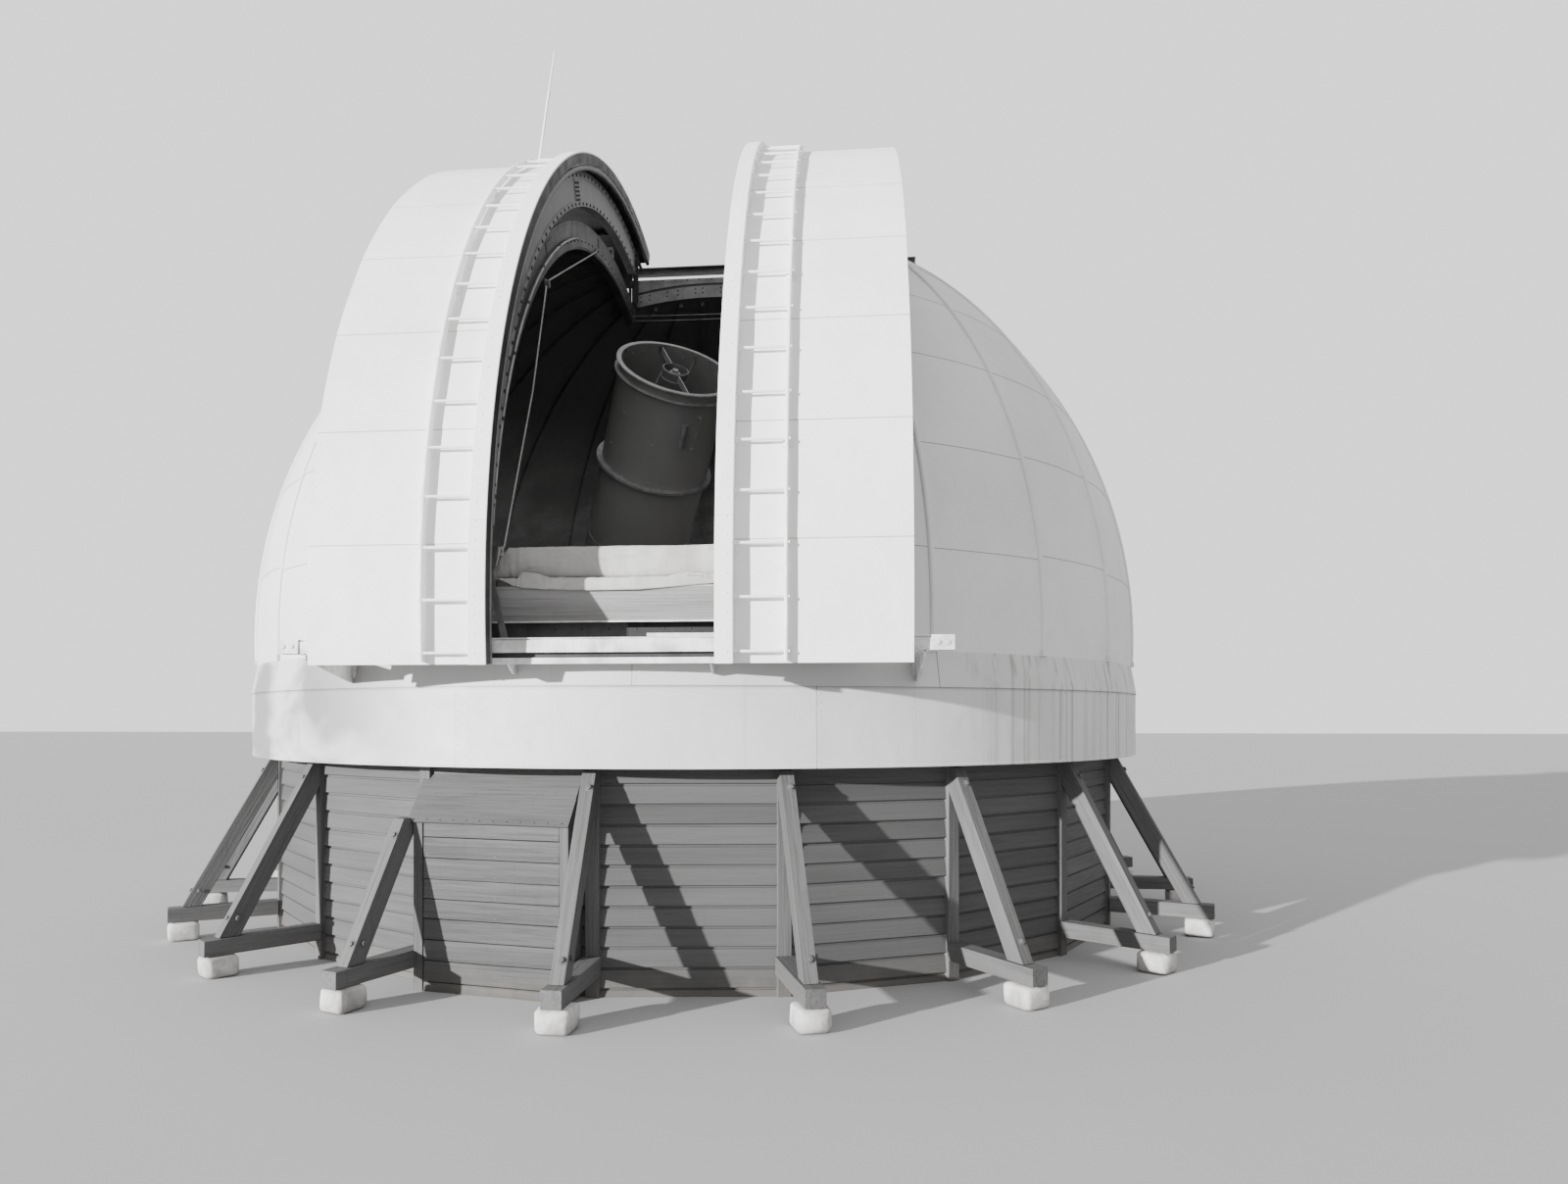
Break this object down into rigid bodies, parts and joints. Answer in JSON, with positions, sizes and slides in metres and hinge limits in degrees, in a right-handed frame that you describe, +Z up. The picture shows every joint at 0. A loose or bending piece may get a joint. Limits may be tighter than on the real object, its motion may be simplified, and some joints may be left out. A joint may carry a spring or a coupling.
{
  "type": "observatory dome",
  "caption": "Timber-walled observatory with a turning sheet-metal dome, sliding arched shutters with ladders, a canvas wind screen and a reflecting telescope.",
  "frame": {"origin": "on the dome's turning axis at ground level", "axes": "+Z up; the observing slit faces -Y; +X is to the right seen from the slit's side"},
  "size_m": [10.6002, 10.6002, 8.2732],
  "materials": {
    "white_paint": "white oil paint",
    "dome_paint": "weathered light grey paint",
    "drum_paint": "light grey paint with water streaks",
    "wall_paint": "grey painted clapboard",
    "brace_timber": "grey painted timber",
    "steel_paint": "dark grey paint on riveted plate",
    "rail_paint": "white paint",
    "tube_paint": "dark paint",
    "iron_paint": "dark painted iron",
    "canvas": "canvas",
    "pier_plaster": "rendered masonry"
  },
  "bodies": {
    "base": {"wall_section_1": "wall_paint", "wall_section_2": "wall_paint", "wall_section_3": "wall_paint", "wall_section_4": "wall_paint", "leanto_box": "wall_paint", "leanto_roof": "wall_paint", "track_ring": "wall_paint", "pier": "pier_plaster", "polar_housing": "iron_paint", "buttress_01": "brace_timber", "buttress_02": "brace_timber", "buttress_03": "brace_timber", "buttress_04": "brace_timber", "buttress_05": "brace_timber", "buttress_06": "brace_timber", "buttress_07": "brace_timber", "buttress_08": "brace_timber", "buttress_09": "brace_timber", "buttress_10": "brace_timber", "buttress_11": "brace_timber", "buttress_12": "brace_timber", "buttress_13": "brace_timber", "buttress_14": "brace_timber", "buttress_15": "brace_timber", "buttress_16": "brace_timber", "buttress_17": "brace_timber", "buttress_18": "brace_timber", "buttress_19": "brace_timber", "buttress_20": "brace_timber"},
    "dome": {"base_ring": "steel_paint", "drum_skirt": "drum_paint", "shell_front_right": "dome_paint", "shell_back_right": "dome_paint", "shell_back_left": "dome_paint", "shell_front_left": "dome_paint", "slit_arch_right": "steel_paint", "slit_arch_left": "steel_paint", "slit_header": "steel_paint", "front_rail": "rail_paint", "back_rail": "steel_paint", "screen_board": "wall_paint", "wind_screen": "canvas", "sill_plate": "steel_paint", "screen_stay": "steel_paint", "halyard": "iron_paint"},
    "shutter_left": {"shutter_skin_left": "white_paint", "shutter_curb_left": "white_paint", "shutter_girder_left": "steel_paint", "ladder_left": "white_paint", "lightning_rod": "white_paint"},
    "shutter_right": {"shutter_skin_right": "white_paint", "shutter_curb_right": "white_paint", "shutter_girder_right": "steel_paint", "ladder_right": "white_paint"},
    "polar_head": {"polar_head": "iron_paint"},
    "tube": {"tube_top": "tube_paint", "tube_barrel": "tube_paint", "mirror_cell": "tube_paint", "spider": "iron_paint", "cross_axis": "iron_paint"}
  },
  "joints": [
    {"name": "dome_turn", "type": "hinge", "parent": "base", "child": "dome", "pos_m": [0, 0, 0], "axis": [0, 0, 1], "continuous": true},
    {"name": "shutter_left_slide", "type": "slide", "parent": "dome", "child": "shutter_left", "axis": [-1, 0, 0], "range_m": [-0.755, 0.06]},
    {"name": "shutter_right_slide", "type": "slide", "parent": "dome", "child": "shutter_right", "axis": [1, 0, 0], "range_m": [-0.755, 0.06]},
    {"name": "polar_turn", "type": "hinge", "parent": "base", "child": "polar_head", "pos_m": [0, 0, 3.3], "axis": [-0.3638, 0.7557, 0.5446], "range_deg": [-30, 45]},
    {"name": "declination_turn", "type": "hinge", "parent": "polar_head", "child": "tube", "pos_m": [0, 0, 3.3], "axis": [-0.8953, -0.445, 0.0194], "range_deg": [-50, 22]}
  ],
  "couplings": [
    {"joint": "shutter_right_slide", "follows": "shutter_left_slide", "ratio": 1}
  ]
}
